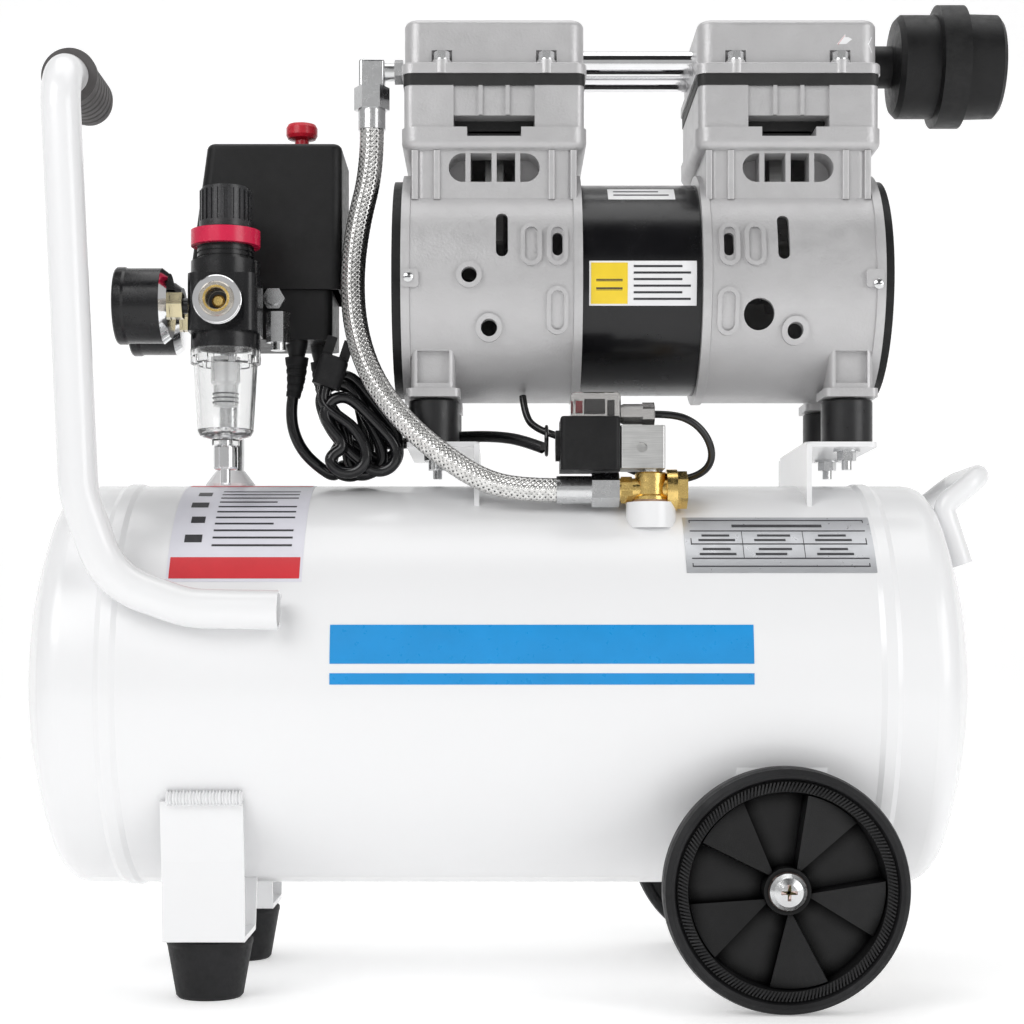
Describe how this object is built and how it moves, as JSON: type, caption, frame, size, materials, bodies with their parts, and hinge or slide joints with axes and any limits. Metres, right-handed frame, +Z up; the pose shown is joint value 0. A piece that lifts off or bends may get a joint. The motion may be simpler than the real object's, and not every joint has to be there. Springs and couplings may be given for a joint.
{
  "type": "air compressor",
  "caption": "Oil-free twin-cylinder air compressor on a horizontal wheeled tank with push handle, pressure switch, filter regulator, gauges and outlet coupler.",
  "frame": {"origin": "on the floor, under the centre of the object's box without its mains cord", "axes": "+Z up; +X along the tank towards the wheels and air filter; +Y from the front, where the regulator and labels are, towards the back"},
  "size_m": [0.59, 0.2848, 0.5972],
  "materials": {
    "white_paint": "gloss powder coat",
    "grey_casting": "semi-gloss grey paint on casting",
    "black_paint": "gloss black paint",
    "black_plastic": "fine moulded grain",
    "black_rubber": "matte",
    "grip_rubber": "ribbed matte",
    "mount_rubber": "smooth",
    "tyre_rubber": "matte",
    "zinc_steel": "zinc plated",
    "chrome_tube": "polished",
    "braid_steel": "woven stainless braid",
    "brass": "turned",
    "aluminium": "machined",
    "clear_plastic": "clear moulded",
    "red_plastic": "gloss",
    "crimson_plastic": "gloss",
    "copper_core": "laminations and windings",
    "steel": "ground",
    "gasket_black": "matte",
    "foam": "open foam",
    "cable_black": "smooth cable sheath",
    "dial_white": "printed dial"
  },
  "bodies": {
    "compressor": {"tank_shell": "white_paint", "tank_heads": "white_paint", "drain_cock_body": "brass", "push_handle": "white_paint", "handle_grip": "grip_rubber", "grab_handle": "white_paint", "leg_brackets": "white_paint", "rubber_feet": "black_rubber", "zinc_fasteners": "zinc_steel", "motor_brackets": "white_paint", "rubber_mounts": "mount_rubber", "crankcase_left": "grey_casting", "crankcase_right": "grey_casting", "stator_shell": "black_paint", "stator_core": "copper_core", "shaft_bearings": "steel", "cylinder_blocks": "grey_casting", "head_gaskets": "gasket_black", "head_covers": "grey_casting", "end_covers": "black_plastic", "crossover_tubes": "chrome_tube", "filter_housing": "black_plastic", "filter_cap": "black_plastic", "filter_element": "foam", "discharge_fittings": "zinc_steel", "discharge_hose": "braid_steel", "check_valve": "brass", "solenoid_block": "aluminium", "solenoid_coil": "black_plastic", "solenoid_connector": "clear_plastic", "solenoid_lead": "cable_black", "motor_lead": "cable_black", "switch_base": "black_plastic", "switch_cover": "black_plastic", "air_manifold": "zinc_steel", "regulator_body": "black_paint", "panel_ring": "crimson_plastic", "filter_bowl": "clear_plastic", "outlet_coupler": "brass", "gauge_cases": "black_plastic", "power_cord": "cable_black", "cord_hank": "cable_black", "cord_plug": "black_rubber"},
    "wheel_front": {"wheel_front": "black_plastic", "tyre_front": "tyre_rubber"},
    "wheel_rear": {"wheel_rear": "black_plastic", "tyre_rear": "tyre_rubber"},
    "rotor": {"rotor": "steel", "motor_shaft": "steel", "cooling_fans": "black_plastic"},
    "piston_left": {"piston_left": "aluminium"},
    "piston_right": {"piston_right": "aluminium"},
    "switch_knob": {"switch_knob": "red_plastic"},
    "regulator_spindle": {"regulator_spindle": "steel"},
    "regulator_knob": {"regulator_knob": "grip_rubber"},
    "bowl_drain": {"bowl_drain": "chrome_tube"},
    "coupler_sleeve": {"coupler_sleeve": "chrome_tube"},
    "gauge_needle_front": {"gauge_needle_front": "red_plastic"},
    "gauge_needle_rear": {"gauge_needle_rear": "red_plastic"},
    "drain_cock_key": {"drain_cock_key": "brass"}
  },
  "joints": [
    {"name": "wheel_front_spin", "type": "hinge", "parent": "compressor", "child": "wheel_front", "pos_m": [0.1465, -0.1275, 0.0685], "axis": [0, 1, 0], "continuous": true},
    {"name": "wheel_rear_spin", "type": "hinge", "parent": "compressor", "child": "wheel_rear", "pos_m": [0.1465, 0.1275, 0.0685], "axis": [0, 1, 0], "continuous": true},
    {"name": "rotor_spin", "type": "hinge", "parent": "compressor", "child": "rotor", "pos_m": [0.0718, 0, 0.422], "axis": [1, 0, 0], "continuous": true},
    {"name": "piston_left_slide", "type": "slide", "parent": "compressor", "child": "piston_left", "axis": [0, 0, 1], "range_m": [-0.018, 0]},
    {"name": "piston_right_slide", "type": "slide", "parent": "compressor", "child": "piston_right", "axis": [0, 0, 1], "range_m": [-0.018, 0]},
    {"name": "switch_knob_slide", "type": "slide", "parent": "compressor", "child": "switch_knob", "axis": [0, 0, 1], "range_m": [-0.006, 0]},
    {"name": "regulator_turn", "type": "hinge", "parent": "compressor", "child": "regulator_spindle", "pos_m": [-0.171, -0.075, 0.445], "axis": [0, 0, 1], "range_deg": [-720, 720]},
    {"name": "regulator_knob_lift", "type": "slide", "parent": "regulator_spindle", "child": "regulator_knob", "axis": [0, 0, 1], "range_m": [0, 0.004]},
    {"name": "bowl_drain_turn", "type": "hinge", "parent": "compressor", "child": "bowl_drain", "pos_m": [-0.171, -0.075, 0.31], "axis": [0, 0, 1], "range_deg": [0, 90]},
    {"name": "coupler_sleeve_slide", "type": "slide", "parent": "compressor", "child": "coupler_sleeve", "axis": [0, 1, 0], "range_m": [0, 0.0035], "stiffness_N_per_m": 400},
    {"name": "gauge_front_needle", "type": "hinge", "parent": "compressor", "child": "gauge_needle_front", "pos_m": [-0.228, -0.075, 0.4008], "axis": [1, 0, 0], "range_deg": [-270, 0]},
    {"name": "gauge_rear_needle", "type": "hinge", "parent": "compressor", "child": "gauge_needle_rear", "pos_m": [-0.228, -0.027, 0.4008], "axis": [1, 0, 0], "range_deg": [-270, 0]},
    {"name": "drain_cock_turn", "type": "hinge", "parent": "compressor", "child": "drain_cock_key", "pos_m": [0.177, 0, 0.03], "axis": [0, 0, 1], "range_deg": [0, 180]}
  ]
}
